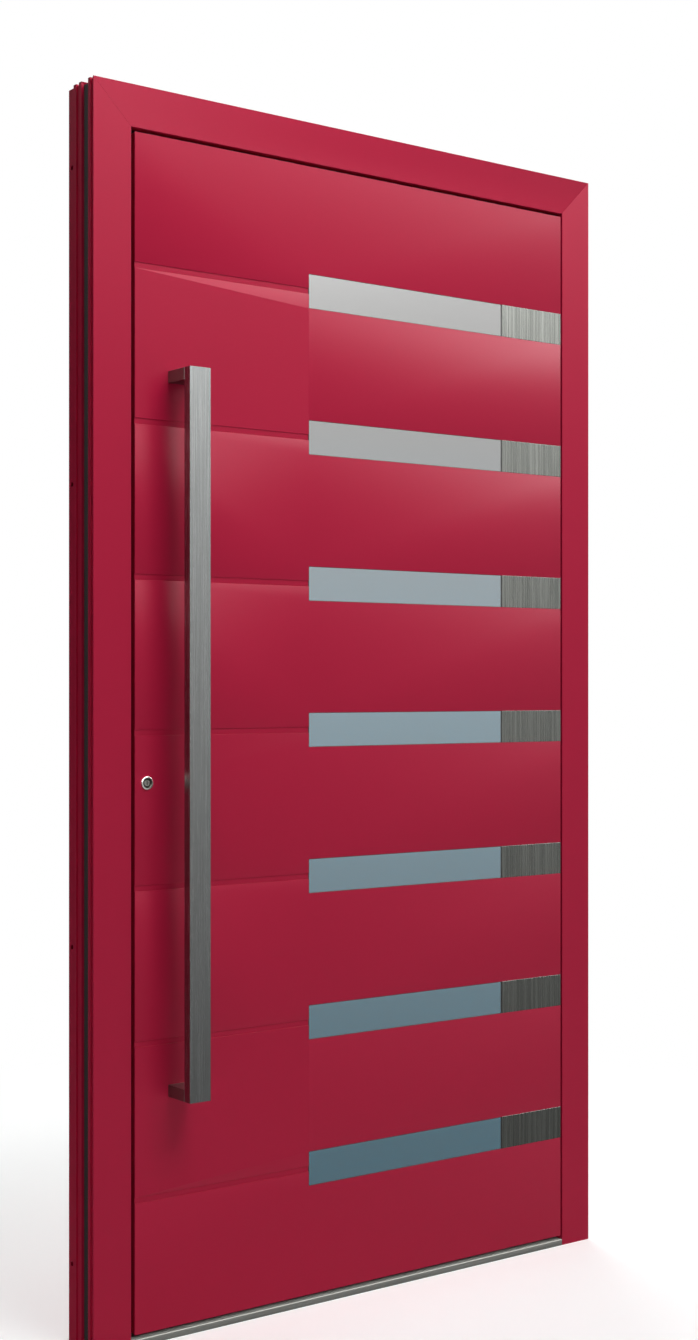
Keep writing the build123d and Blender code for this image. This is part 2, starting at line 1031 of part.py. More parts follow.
def hook_bolt(height):
    """A hook bolt at rest, standing upright in its case."""
    half = hook_width / 2
    top = height + hook_reach
    y0 = lock_y - hook_thickness / 2
    y1 = lock_y + hook_thickness / 2
    arm = block(hook_x - half, hook_x + half, y0, y1, height, top)
    nose = block(
        hook_x - half - hook_nose, hook_x - half, y0, y1, top - hook_nose_height, top
    )
    eye = rod_along_y(hook_x, height, half, y0, y1)
    bore = rod_along_y(hook_x, height, hook_pin_radius + running_fit, y0, y1)
    return joined([arm, nose, eye]) - bore


def drive_rods():
    """The two flat rods behind the faceplate, from the main lock to the hook bolts."""
    x0 = faceplate_back + slide_clearance
    x1 = x0 + rod_thickness
    above_latch = latch_centre + latch_height / 2 + slide_clearance + pocket_clearance
    below_hook = upper_hook_height - hook_width / 2 - rod_travel - 2 * pocket_clearance
    above_hook = lower_hook_height + hook_reach + 2 * pocket_clearance
    below_bolt = deadbolt_centre - deadbolt_height / 2 - rod_travel - pocket_clearance
    return [
        upright_plate(x0, x1, rod_width, above_latch, below_hook),
        upright_plate(x0, x1, rod_width, above_hook, below_bolt),
    ]


# Key cylinder

cylinder_front = outside + cylinder_recess
cylinder_back = inside + cylinder_inner_end


def cylinder_body():
    """The fixed body: a round barrel over a flat web, cut out in the middle for the cam."""
    barrel = rod_along_y(lock_x, cylinder_height, cylinder_radius, cylinder_front, cylinder_back)
    half = cylinder_web / 2
    web = block(
        lock_x - half, lock_x + half,
        outside + sheet_thickness + cylinder_clearance, inside - sheet_thickness,
        cylinder_height - cylinder_drop, cylinder_height,
    )
    bore = rod_along_y(
        lock_x, cylinder_height, plug_radius + running_fit, cylinder_front, cylinder_back
    )
    slot = rod_along_y(
        lock_x, cylinder_height, cam_reach + pocket_clearance,
        lock_y - cam_slot / 2, lock_y + cam_slot / 2,
    )
    return cut(barrel + web, [bore, slot])


def cylinder_ring():
    """The bright round ring on the outer sheet."""
    ring = rod_along_y(lock_x, cylinder_height, ring_radius, outside - ring_height, outside)
    rim = ring.edges().filter_by(GeomType.CIRCLE).sort_by(Axis.Y)[0]
    ring = fillet(rim, ring_round)
    hole = rod_along_y(
        lock_x, cylinder_height, cylinder_radius + running_fit, outside - ring_height, outside
    )
    return ring - hole


def cylinder_core():
    """The turning plug with its keyway, and the cam that drives the bolts."""
    front = outside + plug_recess
    end = inside + knob_start
    plug = rod_along_y(lock_x, cylinder_height, plug_radius, front, end)
    half_key = key_slot_width / 2
    keyway = block(
        lock_x - half_key, lock_x + half_key, front, front + key_slot_depth,
        cylinder_height - key_slot_height / 2, cylinder_height + key_slot_height / 2,
    )
    y0 = lock_y - cam_width / 2
    y1 = lock_y + cam_width / 2
    cam = rod_along_y(lock_x, cylinder_height, cam_radius, y0, y1)
    bit = block(
        lock_x - cam_bit / 2, lock_x + cam_bit / 2, y0, y1,
        cylinder_height - cam_reach, cylinder_height,
    )
    return (joined([plug, cam, bit])) - keyway


def thumb_turn():
    """The oval knob that turns the cylinder from the room."""
    start = inside + knob_start
    end = start + knob_depth
    half = knob_width / 2 - knob_thickness / 2
    ends = [
        rod_along_y(lock_x, cylinder_height + sign * half, knob_thickness / 2, start, end)
        for sign in (-1, 1)
    ]
    side = knob_thickness / 2
    middle = block(
        lock_x - side, lock_x + side, start, end, cylinder_height - half, cylinder_height + half
    )
    return joined([middle] + ends)


def inner_rosettes():
    """Two round rosettes on the room side, round the lever's neck and round the cylinder."""
    rosettes = []
    for z, bore in (
        (lever_height, neck_radius + neck_clearance),
        (cylinder_height, cylinder_radius + running_fit),
    ):
        disc = rod_along_y(lock_x, z, rosette_radius, inside, inside + rosette_height)
        rim = disc.edges().filter_by(GeomType.CIRCLE).sort_by(Axis.Y)[-1]
        disc = fillet(rim, ring_round)
        rosettes.append(disc - rod_along_y(lock_x, z, bore, inside, inside + rosette_height))
    return rosettes


# Inside lever

lever_axis_y = inside + lever_stand_off


def spindle_bar(gap):
    """The square spindle from the follower into the lever's neck, larger by gap."""
    half = spindle_side / 2 + gap
    end = lever_axis_y - neck_radius
    return block(
        lock_x - half, lock_x + half, lock_y, end, lever_height - half, lever_height + half
    )


def lever_handle():
    """The round lever: a neck, a ball corner and a grip that points to the hinge side."""
    neck = rod_along_y(lock_x, lever_height, neck_radius, inside, lever_axis_y)
    corner = Pos(lock_x, lever_axis_y, lever_height) * Sphere(neck_radius)
    end = lock_x + lever_length
    grip = rod_along_x(lever_axis_y, lever_height, neck_radius, lock_x, end)
    tip = Pos(end, lever_axis_y, lever_height) * Sphere(neck_radius)
    return joined([neck, corner, grip, tip]) - spindle_bar(spindle_clearance)


def lever_spindle():
    """The square spindle with the round follower in the lock case."""
    half = case_thickness / 2
    follower = rod_along_y(lock_x, lever_height, follower_radius, lock_y - half, lock_y + half)
    return spindle_bar(0) + follower


# Strikes and electric strike

strike_face = left + inner_face
strike_back = strike_face - strike_thickness
keeper_x = left + keeper_pivot_across
keeper_y = outside + keeper_pivot_depth


def keeper_pocket():
    """The pocket in the left jamb for the electric strike, open to the room and the leaf."""
    return block(
        strike_face - keeper_pocket_depth, strike_face,
        outside + keeper_pocket_start, inside,
        latch_centre - keeper_pocket_half, latch_centre + keeper_pocket_half,
    )


def strike_spans():
    """Bottom and top of the main strike plate and of the two hook strike plates."""
    main = (
        deadbolt_centre - deadbolt_height / 2 - strike_margin,
        latch_centre + keeper_pocket_half + strike_margin,
    )
    hooks = [
        (height - hook_strike_below, height + hook_strike_above)
        for height in (upper_hook_height, lower_hook_height)
    ]
    return [main] + hooks


def strike_rooms():
    """Recesses and pockets of the strike plates in the left jamb."""
    gap = pocket_clearance
    behind = left + inner_face - rebate_wall
    rooms = [upright_plate(strike_back, strike_face, strike_width, z0, z1) for z0, z1 in strike_spans()]
    rooms.append(deadbolt_slot(behind, strike_back, gap))
    for height in (upper_hook_height, lower_hook_height):
        rooms.append(hook_pocket(behind, strike_back, height))
    return rooms


def strike_screw_heights():
    """Heights of the screws at both ends of every strike plate."""
    inset = faceplate_screw_inset
    return [z for z0, z1 in strike_spans() for z in (z0 + inset, z1 - inset)]


def strike_plates():
    """The three stainless strike plates, flush with the jamb's rebate."""
    plates = []
    for z0, z1 in strike_spans():
        plates.append(upright_plate(strike_back, strike_face, strike_width, z0, z1))
    gap = pocket_clearance
    tools = [deadbolt_slot(strike_back, strike_face, gap), keeper_pocket()]
    for height in (upper_hook_height, lower_hook_height):
        tools.append(hook_slot(strike_back, strike_face, height, gap))
    tools += [screw_room(strike_face, lock_y, z, (-1, 0, 0)) for z in strike_screw_heights()]
    return [cut(plate, tools) for plate in plates]


def electric_strike_case():
    """The block that holds the keeper, set in the jamb's pocket."""
    fit = strike_case_fit
    x0 = strike_face - keeper_pocket_depth + fit
    x1 = strike_face - strike_case_face
    half = keeper_pocket_half - fit
    body = block(
        x0, x1, outside + keeper_pocket_start + fit, inside, latch_centre - half, latch_centre + half
    )
    room = keeper_half + keeper_room
    reach = keeper_knuckle + keeper_room
    hollow = block(
        keeper_x - reach, x1, keeper_y - reach, inside, latch_centre - room, latch_centre + room
    )
    pin = rod_along_z(
        keeper_x, keeper_y, keeper_pin_radius + running_fit, latch_centre - half, latch_centre + half
    )
    return body - hollow - pin


def strike_keeper():
    """The swinging keeper, released: its lip points into the room and lets the latch pass."""
    low = latch_centre - keeper_half
    high = latch_centre + keeper_half
    knuckle = rod_along_z(keeper_x, keeper_y, keeper_knuckle, low, high)
    half = keeper_plate / 2
    lip = block(0, keeper_reach, -half, half, low, high)
    lip = Pos(keeper_x, keeper_y, 0) * Rot(0, 0, keeper_open_angle) * lip
    half_pin = keeper_pocket_half - 2 * strike_case_fit
    pin = rod_along_z(
        keeper_x, keeper_y, keeper_pin_radius, latch_centre - half_pin, latch_centre + half_pin
    )
    return joined([knuckle, lip, pin])


# Hinges


def knuckle(z0, z1, bore):
    """One knuckle of a barrel hinge."""
    barrel = rod_along_z(pivot_x, pivot_y, knuckle_radius, z0, z1)
    return barrel - rod_along_z(pivot_x, pivot_y, bore, z0, z1)


def hinge_arm(x0, x1, z0, z1, bore):
    """The flat arm from a hinge plate to its knuckle."""
    y0 = inside + hinge_plate_fit
    arm = block(x0, x1, y0, y0 + hinge_plate_thickness, z0, z1)
    return arm - rod_along_z(pivot_x, pivot_y, bore, z0, z1)


def hinge_screw_places(x, height):
    """Three screws up a hinge plate."""
    y = inside + hinge_plate_fit + hinge_plate_thickness
    return [(x, y, height + i * hinge_screw_pitch) for i in (-1, 0, 1)]


hinge_reach = knuckle_radius + 2 * knuckle_gap
frame_plate_left = pivot_x + hinge_reach
frame_plate_right = frame_plate_left + hinge_plate_width
leaf_plate_right = pivot_x - hinge_reach
leaf_plate_left = leaf_plate_right - hinge_plate_width
hinge_half = frame_knuckle / 2 + knuckle_gap + leaf_knuckle


def frame_hinge_screws():
    """Places of the screws in the frame's hinge plates."""
    x = (frame_plate_left + frame_plate_right) / 2
    return [place for height in hinge_heights for place in hinge_screw_places(x, height)]


def leaf_hinge_screws():
    """Places of the screws in the leaf's hinge plates."""
    x = (leaf_plate_left + leaf_plate_right) / 2
    return [place for height in hinge_heights for place in hinge_screw_places(x, height)]


def leaf_hinge_screw_rooms():
    """Holes of the leaf's hinge screws."""
    return [screw_room(*place, (0, -1, 0)) for place in leaf_hinge_screws()]


def frame_hinge_screw_rooms():
    """Holes of the frame's hinge screws."""
    return [screw_room(*place, (0, -1, 0)) for place in frame_hinge_screws()]


def hinge_plate(x0, x1, height):
    """A hinge plate flat on the door's room side."""
    y0 = inside
    y1 = inside + hinge_plate_fit + hinge_plate_thickness
    return block(x0, x1, y0, y1, height - hinge_half, height + hinge_half)


def frame_hinge_brackets():
    """The frame's hinge plates, each with the middle knuckle."""
    brackets = []
    half = frame_knuckle / 2
    bore = hinge_pin_radius + hinge_pin_seat
    for height in hinge_heights:
        z0 = height - half
        z1 = height + half
        bracket = joined(
            [
                hinge_plate(frame_plate_left, frame_plate_right, height),
                hinge_arm(pivot_x, frame_plate_left, z0, z1, bore),
                knuckle(z0, z1, bore),
            ]
        )
        brackets.append(cut(bracket, frame_hinge_screw_rooms()))
    return brackets


def leaf_hinge_brackets():
    """The leaf's hinge plates, each with an upper and a lower knuckle."""
    brackets = []
    start = frame_knuckle / 2 + knuckle_gap
    bore = hinge_pin_radius + running_fit
    for height in hinge_heights:
        pieces = [hinge_plate(leaf_plate_left, leaf_plate_right, height)]
        for z0, z1 in (
            (height + start, height + hinge_half),
            (height - hinge_half, height - start),
        ):
            pieces.append(hinge_arm(leaf_plate_right, pivot_x, z0, z1, bore))
            pieces.append(knuckle(z0, z1, bore))
        brackets.append(cut(joined(pieces), leaf_hinge_screw_rooms()))
    return brackets


def hinge_pins():
    """The three hinge pins, each with a cap on top."""
    pins = []
    for height in hinge_heights:
        top = height + hinge_half + knuckle_gap
        pin = rod_along_z(pivot_x, pivot_y, hinge_pin_radius, height - hinge_half, top)
        cap = rod_along_z(pivot_x, pivot_y, knuckle_radius, top, top + hinge_pin_head)
        pins.append(pin + cap)
    return pins


def right_inner_jamb():
    """The right inner shell, with holes for wall fixings and hinge screws."""
    jamb = mirror(cut(jamb_piece(inner_shell_points(), inner_chamber), fixing_holes()), about=Plane.YZ)
    return cut(jamb, frame_hinge_screw_rooms())


def left_inner_jamb():
    """The left inner shell, with holes for wall fixings and the pockets of the strikes."""
    jamb = cut(jamb_piece(inner_shell_points(), inner_chamber), fixing_holes())
    tools = strike_rooms() + [keeper_pocket()]
    tools += [screw_room(strike_face, lock_y, z, (-1, 0, 0)) for z in strike_screw_heights()]
    return cut(jamb, tools)


def hinge_stile():
    """The hinge stile, with the holes of the hinge screws."""
    return cut(leaf_member("hinge"), leaf_hinge_screw_rooms())


def frame_screws():
    """Screws of the frame's hinge plates and of the strike plates."""
    screws = [screw(*place, (0, -1, 0)) for place in frame_hinge_screws()]
    return screws + [screw(strike_face, lock_y, z, (-1, 0, 0)) for z in strike_screw_heights()]


def leaf_screws():
    """Screws of the leaf's hinge plates and of the lock's faceplate."""
    screws = [screw(*place, (0, -1, 0)) for place in leaf_hinge_screws()]
    return screws + [screw(rebate_left, lock_y, z, (1, 0, 0)) for z in faceplate_screw_heights()]


def write(name, pieces):
    """Write one sub-part, of one solid or of several separate ones."""
    if isinstance(pieces, list):
        pieces = Compound(children=pieces)
    export_step(pieces, f"parts/{name}.step")


def main():
    """Write every sub-part."""
    os.makedirs("parts", exist_ok=True)
    outer_jamb = jamb_piece(outer_shell_points(), outer_chamber)
    write("left_jamb_outer_shell", outer_jamb)
    write("right_jamb_outer_shell", mirror(outer_jamb, about=Plane.YZ))
    write("head_outer_shell", head_piece(outer_shell_points(), outer_chamber))
    write("left_jamb_inner_shell", left_inner_jamb())
    write("right_jamb_inner_shell", right_inner_jamb())
    write("head_inner_shell", head_piece(inner_shell_points(), inner_chamber))
    write("frame_thermal_breaks", thermal_breaks())
    write("frame_corner_cleats", corner_cleats())
    write("threshold_outer_rail", threshold_outer())
    write("threshold_thermal_break", threshold_break())
    write("threshold_inner_rail", threshold_inner())
    write("frame_gasket", frame_gasket())
    write("strike_plates", strike_plates())
    write("electric_strike_case", electric_strike_case())
    write("strike_keeper", strike_keeper())
    write("frame_hinge_brackets", frame_hinge_brackets())
    write("hinge_pins", hinge_pins())
    write("frame_screws", frame_screws())

    write("lock_stile", lock_stile())
    write("hinge_stile", hinge_stile())
    write("top_rail", leaf_member("top"))
    write("bottom_rail", leaf_member("bottom"))
    write("leaf_outer_profile", outer_profile())
    write("leaf_thermal_break", leaf_break())
    write("outer_sheet", outer_sheet())
    write("inner_sheet", inner_sheet())
    write("foam_core", foam_core())
    for number, z in enumerate(strip_heights, start=1):
        write(f"glass_outer_pane_{number}", glass_outer_pane(z))
    write("glass_inner_panes", glass_inner_panes())
    write("glass_spacers", glass_spacers())
    write("glazing_joints", glazing_joints())
    write("steel_plates", steel_plates())
    write("leaf_gasket", leaf_gasket())
    write("bottom_seal", bottom_seal())
    write("leaf_hinge_brackets", leaf_hinge_brackets())
    write("leaf_screws", leaf_screws())

    write("pull_bar", pull_bar())
    write("pull_bar_posts", pull_bar_posts())
    write("pull_bar_bolts", [bar_bolt(z, 0) for z in post_heights])

    write("lock_faceplate", lock_faceplate())
    write("main_lock_case", main_lock_case())
    write("hook_lock_cases", [hook_case(upper_hook_height), hook_case(lower_hook_height)])
    write("latch_bolt", latch_bolt())
    write("deadbolt", deadbolt())
    write("upper_hook_bolt", hook_bolt(upper_hook_height))
    write("lower_hook_bolt", hook_bolt(lower_hook_height))
    write("drive_rods", drive_rods())
    write("cylinder_body", cylinder_body())
    write("cylinder_ring", cylinder_ring())
    write("cylinder_core", cylinder_core())
    write("thumb_turn", thumb_turn())
    write("inner_rosettes", inner_rosettes())
    write("lever_handle", lever_handle())
    write("lever_spindle", lever_spindle())


main()
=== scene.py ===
"""Look of a red aluminium entrance door with glass strips, in Blender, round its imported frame."""

import json
from math import cos, pi, radians, sin

import bmesh
import bpy
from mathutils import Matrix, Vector


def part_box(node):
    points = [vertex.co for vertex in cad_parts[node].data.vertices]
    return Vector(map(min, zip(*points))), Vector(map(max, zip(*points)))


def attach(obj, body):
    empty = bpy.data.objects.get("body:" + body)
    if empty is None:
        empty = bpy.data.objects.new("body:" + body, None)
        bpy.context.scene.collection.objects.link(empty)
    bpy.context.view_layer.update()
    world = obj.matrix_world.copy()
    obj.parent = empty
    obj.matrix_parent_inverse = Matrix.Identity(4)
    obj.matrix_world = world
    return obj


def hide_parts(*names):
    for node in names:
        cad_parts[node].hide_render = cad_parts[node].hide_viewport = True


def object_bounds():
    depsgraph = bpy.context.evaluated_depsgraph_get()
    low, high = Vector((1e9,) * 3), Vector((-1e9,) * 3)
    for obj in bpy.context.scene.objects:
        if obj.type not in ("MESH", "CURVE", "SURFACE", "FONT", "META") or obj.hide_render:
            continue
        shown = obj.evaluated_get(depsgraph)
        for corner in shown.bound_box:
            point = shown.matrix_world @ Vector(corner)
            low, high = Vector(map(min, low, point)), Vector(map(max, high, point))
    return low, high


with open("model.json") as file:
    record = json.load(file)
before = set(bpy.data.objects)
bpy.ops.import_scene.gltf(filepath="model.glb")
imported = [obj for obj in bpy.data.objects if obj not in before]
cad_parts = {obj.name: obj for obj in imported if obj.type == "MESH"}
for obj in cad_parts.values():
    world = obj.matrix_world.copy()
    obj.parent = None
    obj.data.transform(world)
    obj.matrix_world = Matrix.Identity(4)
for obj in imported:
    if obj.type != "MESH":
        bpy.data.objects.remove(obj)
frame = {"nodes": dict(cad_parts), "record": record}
cad_box = [list(corner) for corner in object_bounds()]
scene = bpy.context.scene
nodes = frame["nodes"]

mm = 0.001
# Corners nearer to each other than this are one, in a CAD mesh and after its edges are rounded
same_corner = 0.000002
same_rounded_corner = 0.000005
# Faces turned by less than this are parts of one flat face
flat_turn = radians(0.5)
# Outer edges turned by more than this are rounded
corner_turn = radians(35)
# Edges turned by more than this are set to show as edges, on pieces and on the threshold's ribs
edge_turn = radians(15)
rib_edge_turn = radians(40)


# Colours and shader nodes


def linear(hex_colour):
    """A linear colour from an sRGB hex colour."""
    values = [int(hex_colour[i : i + 2], 16) / 255 for i in (1, 3, 5)]
    turned = [v / 12.92 if v <= 0.04045 else ((v + 0.055) / 1.055) ** 2.4 for v in values]
    return (*turned, 1.0)


def add_node(tree, kind, settings=None, **inputs):
    """A shader node with its settings and its inputs, which are values or sockets."""
    new = tree.nodes.new(kind)
    for key, value in (settings or {}).items():
        setattr(new, key, value)
    for key, value in inputs.items():
        socket = new.inputs[key.replace("_", " ")]
        if isinstance(value, bpy.types.NodeSocket):
            tree.links.new(value, socket)
        else:
            socket.default_value = value
    return new


def mix_colours(tree, factor, first, second):
    """The colour between two colours."""
    mixed = add_node(tree, "ShaderNodeMix", {"data_type": "RGBA"})
    tree.links.new(factor, mixed.inputs["Factor"])
    mixed.inputs[6].default_value = first
    mixed.inputs[7].default_value = second
    return mixed.outputs[2]


def surface(name, dark, light, stretch, rough, bump, metallic=0.0, detail=4.0, **extra):
    """A material whose colour, roughness and relief follow one noise in Object coordinates.

    stretch is the noise's scale along X, Y and Z, rough the lowest and highest roughness, and
    bump the relief's height in metres.
    """
    made = bpy.data.materials.new(name)
    made.use_nodes = True
    tree = made.node_tree
    shader = tree.nodes["Principled BSDF"]
    place = add_node(tree, "ShaderNodeTexCoord").outputs["Object"]
    scaled = add_node(tree, "ShaderNodeMapping", Vector=place, Scale=stretch).outputs["Vector"]
    noise = add_node(
        tree, "ShaderNodeTexNoise", Vector=scaled, Scale=1.0, Detail=detail, Roughness=0.6
    ).outputs["Fac"]
    colour = mix_colours(tree, noise, linear(dark), linear(light))
    tree.links.new(colour, shader.inputs["Base Color"])
    roughness = add_node(
        tree, "ShaderNodeMapRange", Value=noise, To_Min=rough[0], To_Max=rough[1]
    ).outputs["Result"]
    tree.links.new(roughness, shader.inputs["Roughness"])
    relief = add_node(tree, "ShaderNodeBump", Height=noise, Strength=0.5, Distance=bump)
    tree.links.new(relief.outputs["Normal"], shader.inputs["Normal"])
    shader.inputs["Metallic"].default_value = metallic
    for key, value in extra.items():
        shader.inputs[key.replace("_", " ")].default_value = value
    return made


# Powder coat: satin, with the faint orange peel of baked powder
red_coat = surface(
    "powder coat, ruby red", "#9D1534", "#A61738", (900, 900, 900), (0.28, 0.36), 0.00002,
    Specular_IOR_Level=0.15,
)
# Polyamide of the thermal breaks
polyamide = surface(
    "polyamide, black", "#0A0909", "#121111", (400, 400, 60), (0.6, 0.8), 0.00004,
    Specular_IOR_Level=0.2,
)
# Extruded aluminium with fine die lines along X
extruded = surface(
    "aluminium, extruded", "#8C8C88", "#A8A8A3", (4, 900, 900), (0.3, 0.5), 0.00002, metallic=1.0
)
# Anodised aluminium of the threshold, dull from the etch before it
anodised = surface(
    "aluminium, anodised", "#5E5E5B", "#70706D", (6, 500, 500), (0.42, 0.55), 0.00002,
    metallic=1.0,
)
# Rubber of the seals
rubber = surface(
    "rubber, black", "#0D0C0C", "#191817", (300, 300, 300), (0.6, 0.85), 0.00005
)
# Stainless steel brushed up and down
brushed_up = surface(
    "stainless steel, brushed upwards", "#6A6C6A", "#97999A", (900, 900, 6), (0.2, 0.32),
    0.000012, metallic=1.0, detail=6.0,
)
# The same steel on the plates, with a coarser brush
brushed_plate = surface(
    "stainless steel, coarsely brushed", "#474946", "#8E908C", (420, 420, 3), (0.18, 0.36),
    0.00002, metallic=1.0, detail=5.0,
)
# Polished steel of the key ring
polished = surface(
    "stainless steel, polished", "#D5D4D0", "#E3E2DE", (900, 900, 900), (0.1, 0.16), 0.000004,
    metallic=1.0,
)
# Stainless steel brushed along Y, on the posts
brushed_deep = surface(
    "stainless steel, brushed inwards", "#6B6A66", "#85837F", (1600, 9, 1600), (0.26, 0.42),
    0.000012, metallic=1.0, detail=6.0,
)
# Stainless steel with a fine satin finish
satin_steel = surface(
    "stainless steel, satin", "#8B8984", "#B0AEA8", (700, 700, 700), (0.24, 0.36), 0.00001,
    metallic=1.0,
)
# Zinc plated steel of screws, pins and lock cases
zinc = surface(
    "steel, zinc plated", "#8E9094", "#B4B6BA", (180, 180, 180), (0.32, 0.5), 0.00002,
    metallic=1.0,
)
# Nickel plated steel of the bolts
nickel = surface(
    "steel, nickel plated", "#9A948A", "#B9B3A8", (120, 600, 600), (0.2, 0.34), 0.00001,
    metallic=1.0,
)
# Nickel plated brass of the key cylinder, darkened to a painted shade of its recessed face
cylinder_brass_painted_shade = surface(
    "brass, nickel plated", "#2E2C29", "#45423D", (500, 500, 500), (0.25, 0.4), 0.00001,
    metallic=1.0,
)
# Acid etched glass over a reflective coat; its teal colour is the low end of a painted shade by
# height, made below
satin_glass = surface(
    "glass, satin", "#0E5E74", "#126A82", (1500, 1500, 1500), (0.12, 0.17), 0.000004, IOR=4.0,
)
# Painted light and shade by height in metres: the glass's teal colour darkens to near black between
# these heights, so low strips look lit and bluish and high ones dark
painted_shade_start, painted_shade_full = 1.1, 1.55
tree = satin_glass.node_tree
shader = tree.nodes["Principled BSDF"]
place = add_node(tree, "ShaderNodeTexCoord").outputs["Object"]
height = add_node(tree, "ShaderNodeSeparateXYZ", Vector=place).outputs["Z"]
rise = add_node(
    tree, "ShaderNodeMapRange", Value=height, From_Min=painted_shade_start, From_Max=painted_shade_full
)
painted_height_shade = add_node(tree, "ShaderNodeMix", {"data_type": "RGBA"})
tree.links.new(rise.outputs["Result"], painted_height_shade.inputs["Factor"])
tree.links.new(shader.inputs["Base Color"].links[0].from_socket, painted_height_shade.inputs[6])
# Near black high up: the dark end of the painted shade
painted_height_shade.inputs[7].default_value = linear("#100C08")
tree.links.new(painted_height_shade.outputs[2], shader.inputs["Base Color"])
# Clear float glass
clear_glass = surface(
    "glass, clear", "#C9D6D3", "#D8E2DF", (30, 30, 30), (0.03, 0.06), 0.000002,
    Transmission_Weight=0.6, IOR=1.5,
)
# Spacer of the glass units
spacer_black = surface(
    "spacer, black", "#141414", "#201F1F", (300, 300, 300), (0.5, 0.7), 0.00002
)
# Sealant of the glazing joints
sealant = surface(
    "sealant, black", "#0B0B0B", "#161515", (250, 250, 250), (0.35, 0.5), 0.00004
)
# Polyurethane foam
foam = surface(
    "polyurethane foam", "#B39D62", "#D6C48C", (500, 500, 500), (0.85, 0.95), 0.0003
)

finishes = {
    "red_powder_coat": red_coat,
    "black_polyamide": polyamide,
    "mill_aluminium": extruded,
    "black_rubber": rubber,
    "brushed_stainless": satin_steel,
    "zinc_plated_steel": zinc,
    "nickel_plated_steel": nickel,
    # The key cylinder's body is darkened as painted shade
    "nickel_plated_brass": cylinder_brass_painted_shade,
    "satin_glass": satin_glass,
    "clear_glass": clear_glass,
    "black_spacer": spacer_black,
    "black_sealant": sealant,
    "rigid_foam": foam,
}
own_finish = {
    "pull_bar": brushed_up,
    "steel_plates": brushed_plate,
    "cylinder_ring": polished,
    "cylinder_core": satin_steel,
    "lock_faceplate": brushed_up,
    "strike_plates": brushed_up,
    "pull_bar_posts": brushed_deep,
    "threshold_outer_rail": anodised,
    "threshold_inner_rail": anodised,
}
slots = {part["node"]: part["material_slot"] for part in frame["record"]["subparts"]}
bodies = {
    node: body
    for body, members in frame["record"]["behaviour"]["bodies"].items()
    for node in members
}


def finish_of(node):
    """The material of a CAD node, and of the piece that stands for it."""
    return own_finish.get(node, finishes[slots[node]])


for node, cad_object in nodes.items():
    cad_object.data.materials.clear()
    cad_object.data.materials.append(finish_of(node))


# Pieces that stand for CAD nodes


def stand_for(name, data, node):
    """A piece of this mesh that rides as the CAD node does, has its finish and stands for it."""
    piece = bpy.data.objects.new(name, data)
    scene.collection.objects.link(piece)
    data.materials.clear()
    data.materials.append(finish_of(node))
    data.shade_smooth()
    data.set_sharp_from_angle(angle=edge_turn)
    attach(piece, bodies[node])
    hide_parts(node)
    return piece


def whole_mesh(node):
    """A copy of a CAD node with its corners joined and its flat faces whole."""
    shape = bmesh.new()
    shape.from_mesh(nodes[node].data)
    bmesh.ops.remove_doubles(shape, verts=shape.verts, dist=same_corner)
    bmesh.ops.dissolve_limit(
        shape, angle_limit=flat_turn, verts=shape.verts, edges=shape.edges
    )
    return shape


def as_mesh(shape, name):
    """The mesh of a bmesh, which is freed."""
    data = bpy.data.meshes.new(name)
    shape.to_mesh(data)
    shape.free()
    return data


def is_corner(edge, shortest):
    """Whether an edge is an outer corner, and long enough to be more than a small hole's rim."""
    sharp = len(edge.link_faces) == 2 and edge.calc_face_angle(0) > corner_turn
    return sharp and edge.is_convex and edge.calc_length() > shortest


# Rounded edges: the radius in millimetres that each piece has from its making
edge_radius = {
    "left_jamb_outer_shell": 0.3,
    "right_jamb_outer_shell": 0.3,
    "head_outer_shell": 0.3,
    "head_inner_shell": 0.3,
    "outer_sheet": 0.3,
    "top_rail": 0.4,
    "bottom_rail": 0.4,
    "leaf_outer_profile": 0.3,
    "threshold_outer_rail": 0.4,
    "threshold_inner_rail": 0.4,
    "steel_plates": 0.25,
    "pull_bar_posts": 0.5,
    "lock_faceplate": 0.4,
    "latch_bolt": 0.6,
    "deadbolt": 0.8,
    "drive_rods": 0.3,
    "hinge_pins": 1.0,
    "frame_hinge_brackets": 0.5,
    "leaf_hinge_brackets": 0.5,
    "main_lock_case": 0.4,
    "hook_lock_cases": 0.4,
    "electric_strike_case": 0.3,
}
# The rims of screw holes have edges shorter than this
shortest_corner = 0.0013
for node, radius in edge_radius.items():
    shape = whole_mesh(node)
    corners = [edge for edge in shape.edges if is_corner(edge, shortest_corner)]
    bmesh.ops.bevel(
        shape, geom=corners, offset=radius / 1000, offset_type="OFFSET", segments=2,
        profile=0.5, affect="EDGES", clamp_overlap=True,
    )
    bmesh.ops.remove_doubles(shape, verts=shape.verts, dist=same_rounded_corner)
    bmesh.ops.triangulate(shape, faces=shape.faces)
    stand_for(node + "_rounded", as_mesh(shape, node), node)


# Seals: lipped profiles, swept round the frame or along the foot


def swept(outline, stations):
    """A closed mesh of an outline carried through stations, which turn a point into a place."""
    shape = bmesh.new()
    rings = [[shape.verts.new(station(*point)) for point in outline] for station in stations]
    count = len(outline)
    for here, there in zip(rings, rings[1:]):
        for i in range(count):
            j = (i + 1) % count
            shape.faces.new((here[i], here[j], there[j], there[i]))
    shape.faces.new(reversed(rings[0]))
    shape.faces.new(rings[-1])
    bmesh.ops.recalc_face_normals(shape, faces=shape.faces)
    return shape


def bulb(across, deep, radius, start, end, steps=8):
    """Points of an arc in degrees round a centre, as a soft bulb or a lip's tip has."""
    turns = [radians(start + (end - start) * i / steps) for i in range(steps + 1)]
    return [(across + radius * cos(turn), deep + radius * sin(turn)) for turn in turns]


def round_frame(low, high, foot):
    """Stations up the left jamb, mitred along the head and down the right jamb."""
    return [
        lambda a, y: (low[0] + a, y, foot),
        lambda a, y: (low[0] + a, y, high[2] - a),
        lambda a, y: (high[0] - a, y, high[2] - a),
        lambda a, y: (high[0] - a, y, foot),
    ]


low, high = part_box("frame_gasket")
reach = high[1] - low[1]
